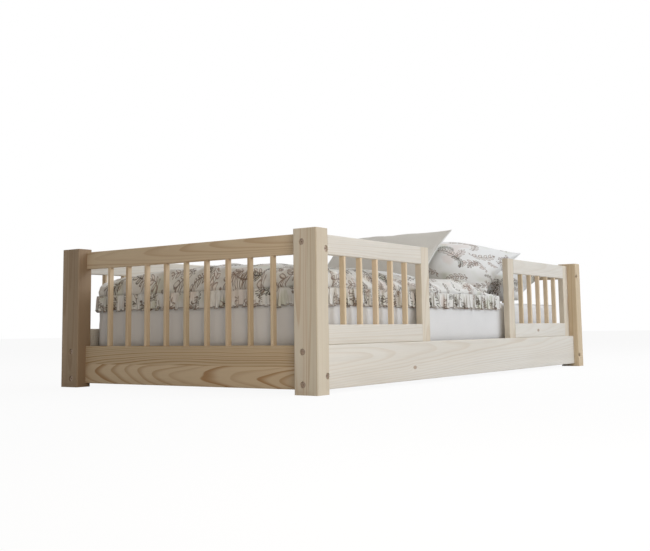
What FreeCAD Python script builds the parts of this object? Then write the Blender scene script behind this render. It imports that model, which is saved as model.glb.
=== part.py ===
import FreeCAD, Part
import math
import os

# Toddler floor bed in plain pine, with its slatted base and loose bedding.
# Millimetres. X runs from the foot end (-X) to the head end (+X), the entry side is -Y,
# the wall side is +Y and Z is up. The origin is on the floor, under the middle of the bed.

V = FreeCAD.Vector

# --- mattress and the room it needs -------------------------------------------------
mattress_length = 1884.0
mattress_width = 890.0
mattress_height = 160.0
mattress_corner_radius = 45.0
mattress_edge_radius = 22.0
mattress_gap_end = 12.0
mattress_gap_side = 12.0

# --- posts -----------------------------------------------------------------------------
post_height = 450.0
post_depth = 56.0
post_width = 80.0
post_edge_radius = 5.0

# --- foot and head panels --------------------------------------------------------------
panel_thickness = 21.0
panel_top = 440.0
top_rail_height = 56.0
board_bottom = 12.0
board_height = 120.0
panel_spindle_count = 9
panel_spindle_pitch = 84.0

# --- long side rails -------------------------------------------------------------------
side_rail_thickness = 42.0
side_rail_recess = 21.0

# --- guards on the side rails ----------------------------------------------------------
guard_thickness = 24.0
guard_setback = 38.0
guard_rail_height = 56.0
guard_stile_width = 52.0
guard_spindle_count = 5
guard_spindle_pitch = 88.0
entry_width = 636.0
wall_guard_top = 426.0
wall_spindle_count = 22

# --- spindles --------------------------------------------------------------------------
spindle_width = 10.0
spindle_depth = 17.0
spindle_edge_radius = 1.5
spindle_tenon = 12.0

rail_edge_radius = 3.0

# --- slatted base ----------------------------------------------------------------------
cleat_width = 28.0
cleat_height = 40.0
slat_count = 13
slat_width = 68.0
slat_thickness = 18.0
slat_side_gap = 4.0
slat_end_gap = 22.0
slat_top = 112.0
strap_width = 20.0
strap_thickness = 1.2
strap_spacing = 500.0
cleat_end_gap = 2.0

# --- bolts, nuts, dowels and screws ----------------------------------------------------
bolt_shank_radius = 3.0
bolt_hole_radius = 3.4
bolt_head_radius = 8.0
bolt_head_thickness = 3.0
bolt_hex_radius = 2.9
bolt_hex_depth = 2.0
counterbore_radius = 9.0
counterbore_depth = 6.0
bolt_reach = 44.0
bolt_tip = 8.0
nut_radius = 5.0
nut_length = 14.0
nut_hole_extra = 0.2
side_bolt_heights = (28.0, 115.0)
guard_bolt_height = 413.0
panel_bolt_heights = (50.0, 394.0)
dowel_radius = 4.0
dowel_half_length = 18.0
dowel_spacing = 30.0
board_dowel_height = 100.0
screw_radius = 2.0
screw_head_radius = 4.0
screw_head_height = 3.0
cleat_screw_count = 8
cleat_screw_reach = 22.0
cleat_screw_share = 0.75
slat_screw_reach = 20.0
guard_screw_reach = 40.0

# --- bedding ---------------------------------------------------------------------------
rest_gap = 0.3
duvet_head_end = 296.0
duvet_edge_height = 66.0
duvet_crown = 102.0
ruffle_bottom = 240.0
ruffle_drop_gap = 2.0
ruffle_thickness = 2.0
ruffle_wave = 3.0
ruffle_fold = 60.0

# front, middle and back pillow: slope length, width, thickness, the share of it under the
# seam, tilt, and the place of the foot-side edge: along X, above the mattress and along Y
pillow_front = dict(length=356.0, width=560.0, thick=112.0, under=0.5, tilt=43.0,
                    x=126.0, lift=62.9, y=72.0)
pillow_middle = dict(length=400.0, width=600.0, thick=190.0, under=0.3, tilt=26.0,
                     x=267.0, lift=38.2, y=-110.0)
# the back pillow fills the room behind the middle one, out to the mattress's head end, and
# keeps clear of the mattress's long sides
back_pillow_foot_edge = 520.0
back_pillow_end_allowance = 28.0
back_pillow_side_room = 100.0
back_pillow_plumpness = 190.0 / 450.0
back_pillow_length = mattress_length / 2 - back_pillow_foot_edge + back_pillow_end_allowance
pillow_back = dict(length=back_pillow_length, width=mattress_width - 2 * back_pillow_side_room,
                   thick=back_pillow_plumpness * back_pillow_length, under=0.3, tilt=20.0,
                   x=back_pillow_foot_edge, lift=12.5, y=-92.0)
pillow_rim = 7.0
pillow_side_draw = 16.0

# --- worked out from the values above --------------------------------------------------
inner_half_x = mattress_length / 2 + mattress_gap_end
inner_half_y = mattress_width / 2 + mattress_gap_side
half_length = inner_half_x + post_depth
guard_back = guard_setback + guard_thickness
side_rail_back = side_rail_recess + side_rail_thickness
half_width = inner_half_y + side_rail_back
post_in_x = half_length - post_depth
post_in_y = half_width - post_width
panel_out_x = inner_half_x + panel_thickness
panel_mid_x = inner_half_x + panel_thickness / 2
board_top = board_bottom + board_height
rail_out_y = half_width - side_rail_recess
rail_in_y = half_width - side_rail_back
guard_out_y = half_width - guard_setback
guard_in_y = half_width - guard_back
guard_mid_y = (guard_out_y + guard_in_y) / 2
guard_length = post_in_x - entry_width / 2
slat_bottom = slat_top - slat_thickness
mattress_top = slat_top + mattress_height

solids = {}
holes = {}


def box(x0, x1, y0, y1, z0, z1):
    """A block between two corners, given in any order."""
    xa, xb = sorted((x0, x1))
    ya, yb = sorted((y0, y1))
    za, zb = sorted((z0, z1))
    return Part.makeBox(xb - xa, yb - ya, zb - za, V(xa, ya, za))


def rod(start, direction, radius, length):
    """A round bar from start along a unit direction."""
    return Part.makeCylinder(radius, length, V(*start), V(*direction))


def rounded(block, axis, radius):
    """Rounds the block's four long edges that run along axis ("x", "y" or "z")."""
    edges = []
    for edge in block.Edges:
        a, b = edge.Vertexes[0].Point, edge.Vertexes[-1].Point
        run = b.sub(a)
        along = abs(getattr(run, axis))
        if along > 0.99 * run.Length:
            edges.append(edge)
    return block.makeFillet(radius, edges)


def add(name, shape):
    solids[name] = shape


def drill(name, tool):
    holes.setdefault(name, []).append(tool)


def group(shapes):
    return Part.makeCompound(shapes)


# --- the four posts --------------------------------------------------------------------
ENDS = {"foot": -1, "head": 1}
SIDES = {"front": -1, "wall": 1}

for end, sx in ENDS.items():
    for side, sy in SIDES.items():
        post = box(sx * half_length, sx * post_in_x, sy * half_width, sy * post_in_y, 0, post_height)
        add("post_%s_%s" % (end, side), rounded(post, "z", post_edge_radius))


# --- spindles that stand between two horizontal pieces ----------------------------------
def spindle(x, y, across_x, bottom, top):
    """One upright with a tenon at each end; across_x is true where it is deep along X."""
    dx = (spindle_depth if across_x else spindle_width) / 2
    dy = (spindle_width if across_x else spindle_depth) / 2
    bar = box(x - dx, x + dx, y - dy, y + dy, bottom - spindle_tenon, top + spindle_tenon)
    return rounded(bar, "z", spindle_edge_radius)


def row(count, pitch):
    """Places of count copies about zero, pitch apart."""
    return [(i - (count - 1) / 2) * pitch for i in range(count)]


# --- foot and head panels ----------------------------------------------------------------
for end, sx in ENDS.items():
    mid_x = sx * panel_mid_x
    rail = box(sx * inner_half_x, sx * panel_out_x, -post_in_y, post_in_y,
               panel_top - top_rail_height, panel_top)
    board = box(sx * inner_half_x, sx * panel_out_x, -post_in_y, post_in_y, board_bottom, board_top)
    add(end + "_top_rail", rounded(rail, "y", rail_edge_radius))
    add(end + "_board", rounded(board, "y", rail_edge_radius))
    bars = [spindle(mid_x, y, True, board_top, panel_top - top_rail_height)
            for y in row(panel_spindle_count, panel_spindle_pitch)]
    for number, bar in enumerate(bars, 1):
        drill(end + "_top_rail", bar)
        drill(end + "_board", bar)
        if end == "foot":
            add("foot_spindle_%d" % number, bar)
    if end == "head":
        add("head_spindles", group(bars))

# --- long side rails -----------------------------------------------------------------------
for side, sy in SIDES.items():
    rail = box(-post_in_x, post_in_x, sy * rail_out_y, sy * rail_in_y, board_bottom, board_top)
    add("side_rail_" + side, rounded(rail, "x", rail_edge_radius))

# --- guards ----------------------------------------------------------------------------------
guard_top_z = (panel_top - guard_rail_height, panel_top)
guard_low_z = (board_top, board_top + guard_rail_height)
dowels = []


def guard_rails(name, x0, x1, sy):
    """The two horizontal pieces between a pair of stiles."""
    for part, (z0, z1) in zip(("top", "bottom"), (guard_top_z, guard_low_z)):
        rail = box(x0, x1, sy * guard_out_y, sy * guard_in_y, z0, z1)
        add("%s_%s_rail" % (name, part), rounded(rail, "x", rail_edge_radius))


def guard_stile(node, x0, x1, sy):
    stile = box(x0, x1, sy * guard_out_y, sy * guard_in_y, board_top, panel_top)
    add(node, rounded(stile, "z", rail_edge_radius))


def guard_dowels(x, sy, rail_nodes, stile_node):
    """Two dowels across each joint of a stile and a horizontal piece, at x."""
    for node, (z0, z1) in zip(rail_nodes, (guard_top_z, guard_low_z)):
        for dz in (-dowel_spacing / 2, dowel_spacing / 2):
            place = (x - dowel_half_length, sy * guard_mid_y, (z0 + z1) / 2 + dz)
            peg = rod(place, (1, 0, 0), dowel_radius, 2 * dowel_half_length)
            dowels.append(peg)
            drill(node, peg)
            drill(stile_node, peg)


for end, sx in ENDS.items():
    name = "guard_" + end
    post_stile = name + "_post_stile"
    entry_stile = name + "_entry_stile"
    outer, inner = sx * post_in_x, sx * entry_width / 2
    a = outer - sx * guard_stile_width
    b = inner + sx * guard_stile_width
    guard_stile(post_stile, outer, a, -1)
    guard_stile(entry_stile, inner, b, -1)
    guard_rails(name, a, b, -1)
    rail_nodes = (name + "_top_rail", name + "_bottom_rail")
    guard_dowels(a, -1, rail_nodes, post_stile)
    guard_dowels(b, -1, rail_nodes, entry_stile)
    middle = (a + b) / 2
    for number, dx in enumerate(row(guard_spindle_count, guard_spindle_pitch), 1):
        bar = spindle(middle + dx, -guard_mid_y, False, guard_low_z[1], guard_top_z[0])
        add("%s_spindle_%d" % (name, number), bar)
        for node in rail_nodes:
            drill(node, bar)

# the wall side has one long guard between its posts, a little lower than the entry side's
wall_rails = ("guard_wall_top_rail", "guard_wall_bottom_rail")
wall_top_z = (wall_guard_top - guard_rail_height, wall_guard_top)
for node, (z0, z1) in zip(wall_rails, (wall_top_z, guard_low_z)):
    rail = box(-post_in_x, post_in_x, guard_out_y, guard_in_y, z0, z1)
    add(node, rounded(rail, "x", rail_edge_radius))
    for end, sx in ENDS.items():
        for dz in (-dowel_spacing / 2, dowel_spacing / 2):
            place = (sx * post_in_x - dowel_half_length, guard_mid_y, (z0 + z1) / 2 + dz)
            peg = rod(place, (1, 0, 0), dowel_radius, 2 * dowel_half_length)
            dowels.append(peg)
            drill(node, peg)
            drill("post_%s_wall" % end, peg)
wall_pitch = 2 * post_in_x / (wall_spindle_count + 1)
wall_bars = []
for x in row(wall_spindle_count, wall_pitch):
    bar = spindle(x, guard_mid_y, False, guard_low_z[1], wall_top_z[0])
    wall_bars.append(bar)
    for node in wall_rails:
        drill(node, bar)
add("guard_wall_spindles", group(wall_bars))

# dowels that keep the panels' pieces from turning on their bolts
for end, sx in ENDS.items():
    for side, sy in SIDES.items():
        for node, z in ((end + "_board", board_dowel_height),
                        (end + "_top_rail", panel_top - dowel_spacing / 2)):
            place = (sx * panel_mid_x, sy * post_in_y - dowel_half_length, z)
            peg = rod(place, (0, 1, 0), dowel_radius, 2 * dowel_half_length)
            dowels.append(peg)
            drill(node, peg)
            drill("post_%s_%s" % (end, side), peg)
add("joint_dowels", group(dowels))

# --- bolts with their barrel nuts --------------------------------------------------------------
bolts = []
nuts = []


def bolt(face, direction, thickness, post_node, rail_node, nut_axis, nut_out, depth):
    """A bolt through a post into a barrel nut in the end of a rail.

    face is the point on the post's outside, direction points inwards, thickness is the
    post's, nut_axis points from the rail's inner face outwards into the wood, nut_out is the
    distance from the bolt's line to that inner face and depth is the nut's seat in it.
    """
    f, d, n = V(*face), V(*direction), V(*nut_axis)
    seat = f.add(V(d).multiply(counterbore_depth))
    length = thickness - counterbore_depth + bolt_reach + bolt_tip
    drill(post_node, Part.makeCylinder(counterbore_radius, counterbore_depth, f, d))
    bore = Part.makeCylinder(bolt_hole_radius, length + 2, seat, d)
    drill(post_node, bore)
    drill(rail_node, bore)
    head_start = seat.sub(V(d).multiply(bolt_head_thickness))
    head = Part.makeCylinder(bolt_head_radius, bolt_head_thickness, head_start, d)
    shank = Part.makeCylinder(bolt_shank_radius, length, seat, d)
    socket_profile = [head_start.add(hex_corner(d, i)) for i in range(6)]
    socket = Part.Face(Part.makePolygon(socket_profile + socket_profile[:1]))
    socket = socket.extrude(V(d).multiply(bolt_hex_depth))
    bolts.append(head.fuse(shank).cut(socket).removeSplitter())
    centre = f.add(V(d).multiply(thickness + bolt_reach))
    mouth = centre.sub(V(n).multiply(nut_out))
    hole = Part.makeCylinder(nut_radius + nut_hole_extra, depth + nut_length, mouth, n)
    drill(rail_node, hole)
    nut_start = mouth.add(V(n).multiply(depth))
    nut = Part.makeCylinder(nut_radius, nut_length, nut_start, n)
    thread = Part.makeCylinder(bolt_shank_radius, 4 * nut_radius,
                               centre.sub(V(d).multiply(2 * nut_radius)), d)
    nuts.append(nut.cut(thread))


def hex_corner(direction, index):
    """A corner of the hexagon socket, in the plane square to direction."""
    angle = math.radians(60 * index)
    u, w = bolt_hex_radius * math.cos(angle), bolt_hex_radius * math.sin(angle)
    if abs(direction.x) > 0.5:
        return V(0, u, w)
    return V(u, 0, w)


guard_nut_out = guard_thickness / 2
panel_nut_out = panel_thickness / 2
side_nut_out = side_rail_back - (guard_setback + guard_thickness / 2)
for end, sx in ENDS.items():
    for side, sy in SIDES.items():
        post = "post_%s_%s" % (end, side)
        y = sy * guard_mid_y
        for z in side_bolt_heights:
            bolt((sx * half_length, y, z), (-sx, 0, 0), post_depth, post, "side_rail_" + side,
                 (0, sy, 0), side_nut_out, side_nut_out - nut_length / 2)
        if side == "front":
            bolt((sx * half_length, y, guard_bolt_height), (-sx, 0, 0), post_depth, post,
                 "guard_%s_post_stile" % end, (0, sy, 0), guard_nut_out,
                 guard_nut_out - nut_length / 2)
        for z, node in zip(panel_bolt_heights, (end + "_board", end + "_top_rail")):
            bolt((sx * panel_mid_x, sy * half_width, z), (0, -sy, 0), post_width, post, node,
                 (sx, 0, 0), panel_nut_out, panel_nut_out - nut_length / 2)
add("frame_bolts", group(bolts))
add("barrel_nuts", group(nuts))


# --- screws --------------------------------------------------------------------------------------
def screw(head_face, direction, through, reach, nodes):
    """A countersunk wood screw whose head is level with head_face."""
    d = V(*direction)
    start = V(*head_face)
    head = Part.makeCone(screw_head_radius, screw_radius, screw_head_height, start, d)
    shank = Part.makeCylinder(screw_radius, through + reach - screw_head_height,
                              start.add(V(d).multiply(screw_head_height)), d)
    body = head.fuse(shank)
    for node in nodes:
        drill(node, body)
    return body.removeSplitter()


# --- slatted base ---------------------------------------------------------------------------------
cleat_screws = []
cleat_half = inner_half_x - cleat_end_gap
for side, sy in SIDES.items():
    inner = rail_in_y - cleat_width
    cleat = box(-cleat_half, cleat_half, sy * rail_in_y, sy * inner, slat_bottom - cleat_height, slat_bottom)
    node = "slat_cleat_" + side
    add(node, cleat)
    step = 2 * cleat_half / cleat_screw_count
    for x in row(cleat_screw_count, step):
        place = (x, sy * inner, slat_bottom - cleat_height * cleat_screw_share)
        cleat_screws.append(screw(place, (0, sy, 0), cleat_width, cleat_screw_reach,
                                  (node, "side_rail_" + side)))
add("cleat_screws", group(cleat_screws))

slats = []
slat_screws = []
slat_half_y = rail_in_y - slat_side_gap
slat_pitch = (2 * (inner_half_x - slat_end_gap) - slat_width) / (slat_count - 1)
strap_places = (-strap_spacing / 2, strap_spacing / 2)
for x in row(slat_count, slat_pitch):
    slats.append(box(x - slat_width / 2, x + slat_width / 2, -slat_half_y, slat_half_y,
                     slat_bottom, slat_top))
    for sy in SIDES.values():
        place = (x, sy * (rail_in_y - cleat_width / 2), slat_top)
        slat_screws.append(screw(place, (0, 0, -1), slat_thickness, slat_screw_reach,
                                 ("slats", "slat_cleat_front" if sy < 0 else "slat_cleat_wall")))
add("slats", group(slats))
add("slat_screws", group(slat_screws))
strap_half = (slat_count - 1) / 2 * slat_pitch + slat_width / 2
add("slat_straps", group([box(-strap_half, strap_half, y - strap_width / 2, y + strap_width / 2,
                              slat_bottom - strap_thickness, slat_bottom) for y in strap_places]))

# screws from below hold the guards down on the side rails
guard_screws = []
bay_middle = (post_in_x + entry_width / 2) / 2
screw_places = [(sx * (bay_middle + dx), -1, "side_rail_front", "guard_%s_bottom_rail" % end)
                for end, sx in ENDS.items() for dx in (-guard_length / 4, guard_length / 4)]
screw_places += [(x, 1, "side_rail_wall", "guard_wall_bottom_rail") for x in row(3, 2 * post_in_x / 3)]
for x, sy, side_rail, low_rail in screw_places:
    guard_screws.append(screw((x, sy * guard_mid_y, board_bottom), (0, 0, 1), board_height,
                              guard_screw_reach, (side_rail, low_rail)))
add("guard_screws", group(guard_screws))

# --- bedding ---------------------------------------------------------------------------------------
mattress = box(-mattress_length / 2, mattress_length / 2, -mattress_width / 2, mattress_width / 2,
               slat_top + rest_gap, mattress_top)
mattress = rounded(mattress, "z", mattress_corner_radius)
rims = [e for e in mattress.Edges if abs(e.Vertexes[0].Z - e.Vertexes[-1].Z) < 1e-6]
add("mattress", mattress.makeFillet(mattress_edge_radius, rims))


def duvet_section(inset, crown, edge):
    """The duvet's outline across the bed, inset from its foot edge: rounded sides, a crowned top."""
    r = duvet_corner_radius
    narrowing = r - math.sqrt(r * r - (r - inset) ** 2) if inset < r else 0.0
    half = duvet_half_width - narrowing
    x = duvet_foot + inset
    low = mattress_top + rest_gap
    bulge = edge / 2
    corners = [V(x, -half + bulge, low), V(x, half - bulge, low), V(x, half - bulge, low + edge),
               V(x, -half + bulge, low + edge)]
    wire = [Part.LineSegment(corners[0], corners[1]).toShape(),
            Part.Arc(corners[1], V(x, half, low + bulge), corners[2]).toShape(),
            Part.Arc(corners[2], V(x, 0, low + crown), corners[3]).toShape(),
            Part.Arc(corners[3], V(x, -half, low + bulge), corners[0]).toShape()]
    return Part.Wire(wire)


duvet_half_width = mattress_width / 2 + ruffle_drop_gap - rest_gap
duvet_foot = -mattress_length / 2 - ruffle_drop_gap + rest_gap
duvet_corner_radius = mattress_corner_radius + ruffle_drop_gap - rest_gap
duvet_length = duvet_head_end - duvet_foot
# each row: distance from the foot edge, then the shares of the crown's and the edge's height
duvet_rows = [(2.0, 0.50, 0.60), (14.0, 0.68, 0.85), (duvet_corner_radius, 0.86, 1.0)]
duvet_rows += [(duvet_length * along, high, edge) for along, high, edge in
               ((0.12, 0.97, 1.0), (0.3, 1.0, 1.0), (0.55, 0.96, 1.0), (0.72, 0.84, 0.95),
                (0.86, 0.62, 0.76), (0.96, 0.42, 0.5), (1.0, 0.28, 0.34))]
sections = [duvet_section(inset, duvet_crown * high, duvet_edge_height * edge)
            for inset, high, edge in duvet_rows]
add("duvet", Part.makeLoft(sections, True, True))


def ruffle_side(start, end, outwards):
    """Arcs of the ruffle's folds along one straight side, leaning outwards and back by turns."""
    run = end.sub(start)
    folds = max(2, 2 * round(run.Length / ruffle_fold / 2))
    edges = []
    for i in range(folds):
        a = start.add(V(run).multiply(i / folds))
        b = start.add(V(run).multiply((i + 1) / folds))
        swing = ruffle_wave / 2 if i % 2 == 0 else -ruffle_wave / 2
        middle = a.add(b).multiply(0.5).add(V(outwards).multiply(swing))
        edges.append(Part.Arc(a, middle, b).toShape())
    return edges


def ruffle_band(offset):
    """The line of the ruffle, offset from the mattress's side, on three sides of the bed."""
    hx = mattress_length / 2 + offset
    hy = mattress_width / 2 + offset
    r = mattress_corner_radius + offset
    z = ruffle_bottom
    turn = r * (1 - math.sqrt(0.5))
    front_bend = V(-hx + turn, -hy + turn, z)
    wall_bend = V(-hx + turn, hy - turn, z)
    edges = ruffle_side(V(duvet_head_end, -hy, z), V(-hx + r, -hy, z), V(0, -1, 0))
    edges.append(Part.Arc(V(-hx + r, -hy, z), front_bend, V(-hx, -hy + r, z)).toShape())
    edges += ruffle_side(V(-hx, -hy + r, z), V(-hx, hy - r, z), V(-1, 0, 0))
    edges.append(Part.Arc(V(-hx, hy - r, z), wall_bend, V(-hx + r, hy, z)).toShape())
    edges += ruffle_side(V(-hx + r, hy, z), V(duvet_head_end, hy, z), V(0, 1, 0))
    return edges


near = ruffle_drop_gap + ruffle_wave / 2
far = near + ruffle_thickness
inner_line = ruffle_band(near)
outer_line = ruffle_band(far)
ends = [Part.LineSegment(inner_line[-1].Vertexes[-1].Point, outer_line[-1].Vertexes[-1].Point).toShape(),
        Part.LineSegment(outer_line[0].Vertexes[0].Point, inner_line[0].Vertexes[0].Point).toShape()]
band = Part.Face(Part.Wire(Part.__sortEdges__(inner_line + outer_line + ends)))
ruffle_height = mattress_top + duvet_edge_height / 2 - ruffle_bottom
add("duvet_ruffle", band.extrude(V(0, 0, ruffle_height)))


def pillow(length, width, thick, under, tilt, x, lift, y):
    """A crowned pillow whose four sides draw in between its corners, leaning towards the head."""
    shares = (0.0, 0.1, 0.28, 0.5, 0.72, 0.9, 1.0)
    wires = []
    rim = pillow_rim / 2
    for share in shares:
        swell = math.sin(math.pi * share)
        half = width / 2 - pillow_side_draw * swell
        upper, lower = (rim + 1 + (thick * part - rim - 1) * swell ** 0.6 for part in (1 - under, under))
        u = share * length + pillow_side_draw * (0.5 - share) * 0.5
        a, b = V(u, -half, -rim), V(u, half, -rim)
        c, d = V(u, half, rim), V(u, -half, rim)
        wires.append(Part.Wire([Part.Arc(a, V(u, 0, -lower), b).toShape(),
                                Part.LineSegment(b, c).toShape(),
                                Part.Arc(c, V(u, 0, upper), d).toShape(),
                                Part.LineSegment(d, a).toShape()]))
    body = Part.makeLoft(wires, True, True)
    body.rotate(V(0, 0, 0), V(0, 1, 0), -tilt)
    body.translate(V(x, y, mattress_top + lift))
    return body


add("pillow_front", pillow(**pillow_front))
add("pillow_middle", pillow(**pillow_middle))
add("pillow_back", pillow(**pillow_back))

# --- holes, then the files ---------------------------------------------------------------------------
os.makedirs("parts", exist_ok=True)
for name, shape in solids.items():
    bodies = []
    for body in shape.Solids:
        tools = [t for t in holes.get(name, []) if t.BoundBox.intersect(body.BoundBox)]
        cut = body.cut(tools) if tools else body
        bodies += cut.Solids
    final = bodies[0] if len(bodies) == 1 else Part.makeCompound(bodies)
    if not final.isValid():
        raise ValueError("invalid solid in " + name)
    final.exportStep("parts/%s.step" % name)
print(len(solids), "nodes; length, width and height:")
print(2 * half_length, 2 * half_width, post_height)
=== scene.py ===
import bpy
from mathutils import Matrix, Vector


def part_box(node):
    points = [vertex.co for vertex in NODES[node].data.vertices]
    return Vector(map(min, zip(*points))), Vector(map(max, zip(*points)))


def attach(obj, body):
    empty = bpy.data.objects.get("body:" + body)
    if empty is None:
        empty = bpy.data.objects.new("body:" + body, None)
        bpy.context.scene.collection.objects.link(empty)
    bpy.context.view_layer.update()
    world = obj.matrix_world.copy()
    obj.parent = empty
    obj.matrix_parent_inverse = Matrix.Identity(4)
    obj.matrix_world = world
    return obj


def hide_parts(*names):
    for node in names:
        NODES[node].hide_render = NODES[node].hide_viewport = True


bl_info = {
    "name": "Toddler floor bed",
    "version": (1, 0, 0),
    "blender": (4, 5, 0),
    "location": "View3D > Sidebar > Floor Bed",
    "description": "Dresses the packed toddler floor bed with pine, steel and bedding",
    "category": "Object",
}

import math

import bpy
import numpy as np
from mathutils import Matrix, Vector

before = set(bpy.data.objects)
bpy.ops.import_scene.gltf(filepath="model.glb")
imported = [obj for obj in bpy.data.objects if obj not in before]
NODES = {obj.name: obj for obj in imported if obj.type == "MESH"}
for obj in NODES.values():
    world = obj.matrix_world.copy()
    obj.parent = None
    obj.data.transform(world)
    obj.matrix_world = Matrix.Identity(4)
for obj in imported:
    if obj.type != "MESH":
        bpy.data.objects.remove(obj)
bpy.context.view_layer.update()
TAU = 2 * math.pi


# --- building node trees ------------------------------------------------------------------------
class Field:
    """A value in a node tree: arithmetic on it adds the Math nodes that work it out."""

    def __init__(self, socket):
        self.socket = socket
        self.tree = socket.id_data

    def __add__(self, other):
        return calc("ADD", self, other)

    def __sub__(self, other):
        return calc("SUBTRACT", self, other)

    def __rsub__(self, other):
        return calc("SUBTRACT", other, self)

    def __mul__(self, other):
        return calc("MULTIPLY", self, other)

    def __truediv__(self, other):
        return calc("DIVIDE", self, other)

    def __rtruediv__(self, other):
        return calc("DIVIDE", other, self)

    def __mod__(self, other):
        return calc("FLOORED_MODULO", self, other)

    def __pow__(self, other):
        return calc("POWER", self, other)

    def __abs__(self):
        return calc("ABSOLUTE", self)

    def __lt__(self, other):
        return calc("LESS_THAN", self, other)

    def __gt__(self, other):
        return calc("GREATER_THAN", self, other)


def feed(socket, value):
    """Links a field to an input, or sets the input to a constant."""
    if isinstance(value, Field):
        value.tree.links.new(value.socket, socket)
    else:
        socket.default_value = value


def put(tree, kind, inputs=None, **settings):
    """Adds a node with its properties and inputs, and gives its outputs by name."""
    node = tree.nodes.new(kind)
    for key, value in settings.items():
        setattr(node, key, value)
    for key, value in (inputs or {}).items():
        feed(node.inputs[key], value)
    return {socket.name: Field(socket) for socket in node.outputs}


def tree_of(values):
    """The tree that the fields among some values stand in."""
    return next(value.tree for value in values if isinstance(value, Field))


def is_vector(value):
    return isinstance(value, tuple) or isinstance(value, Field) and value.socket.type != "VALUE"


def calc(operation, *values, clamp=False):
    """One Math node, or Vector Math where a value is a vector. Vector times number scales."""
    tree, inputs = tree_of(values), dict(enumerate(values))
    vectors = [is_vector(value) for value in values]
    if not any(vectors):
        return put(tree, "ShaderNodeMath", inputs, operation=operation, use_clamp=clamp)["Value"]
    if operation == "MULTIPLY" and not all(vectors):
        operation, inputs = "SCALE", {0: values[0], "Scale": values[1]}
    outputs = put(tree, "ShaderNodeVectorMath", inputs, operation=operation)
    return outputs["Value" if operation == "LENGTH" else "Vector"]


def split(vector):
    return list(put(vector.tree, "ShaderNodeSeparateXYZ", {0: vector}).values())


def join(x=0.0, y=0.0, z=0.0):
    return put(tree_of((x, y, z)), "ShaderNodeCombineXYZ", {0: x, 1: y, 2: z})["Vector"]


def rotate(vector, angle):
    """Turns a vector about Z."""
    inputs = {"Vector": vector, "Angle": angle}
    return put(vector.tree, "ShaderNodeVectorRotate", inputs, rotation_type="Z_AXIS")["Vector"]


def ease(value, low, high):
    """0 up to low, 1 from high on, and smooth between them."""
    inputs = {"Value": value, "From Min": low, "From Max": high}
    return put(value.tree, "ShaderNodeMapRange", inputs, interpolation_type="SMOOTHSTEP")["Result"]


def mix_colour(factor, a, b, blend="MIX"):
    """Mixes two colours, each a field or the three shares of red, green and blue."""
    tree = tree_of((factor, a, b))
    node = tree.nodes.new("ShaderNodeMix")
    node.data_type = "RGBA"
    node.blend_type = blend
    feed(node.inputs[0], factor)
    for place, colour in ((6, a), (7, b)):
        feed(node.inputs[place], colour if isinstance(colour, Field) else (*colour, 1.0))
    return Field(node.outputs[2])


def shade_colour(colour, level):
    """Darkens a colour field evenly to a level from 0 to 1."""
    return mix_colour(1.0, colour, join(level, level, level), "MULTIPLY")


def noise(vector, output="Fac", detail=2.0, scale=1.0):
    inputs = {"Vector": vector, "Scale": scale, "Detail": detail, "Roughness": 0.5}
    return put(vector.tree, "ShaderNodeTexNoise", inputs)[output]


def draw_number(field, output="Value"):
    """A random value for each value of a number field."""
    return put(field.tree, "ShaderNodeTexWhiteNoise", {"W": field}, noise_dimensions="1D")[output]


FLOAT, VECTOR, COLOUR = "NodeSocketFloat", "NodeSocketVector", "NodeSocketColor"
GEOMETRY, INTEGER, MATERIAL = "NodeSocketGeometry", "NodeSocketInt", "NodeSocketMaterial"
GROUPS = {}
MATERIALS = {}


def new_group(name, kind, inputs, outputs):
    """An empty node group: its tree, its inputs as fields and its output sockets by name."""
    tree = bpy.data.node_groups.new(name, kind)
    for label, socket_type, default in inputs:
        socket = tree.interface.new_socket(label, in_out="INPUT", socket_type=socket_type)
        if default is not None:
            socket.default_value = default
    for label, socket_type in outputs:
        tree.interface.new_socket(label, in_out="OUTPUT", socket_type=socket_type)
    given = put(tree, "NodeGroupInput")
    GROUPS[name] = tree
    return tree, given, tree.nodes.new("NodeGroupOutput").inputs


def place_group(tree, name, inputs):
    node = tree.nodes.new("ShaderNodeGroup")
    node.node_tree = GROUPS[name]
    for key, value in inputs.items():
        feed(node.inputs[key], value)
    return {socket.name: Field(socket) for socket in node.outputs}


def new_material(name):
    """A material with a plain Principled BSDF: the material, its tree and that node's inputs."""
    material = bpy.data.materials.new(name)
    material.use_nodes = True
    tree = material.node_tree
    return material, tree, tree.nodes["Principled BSDF"].inputs


def bump(shader, height, distance):
    inputs = {"Height": height, "Distance": distance}
    feed(shader["Normal"], put(height.tree, "ShaderNodeBump", inputs)["Normal"])


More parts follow.
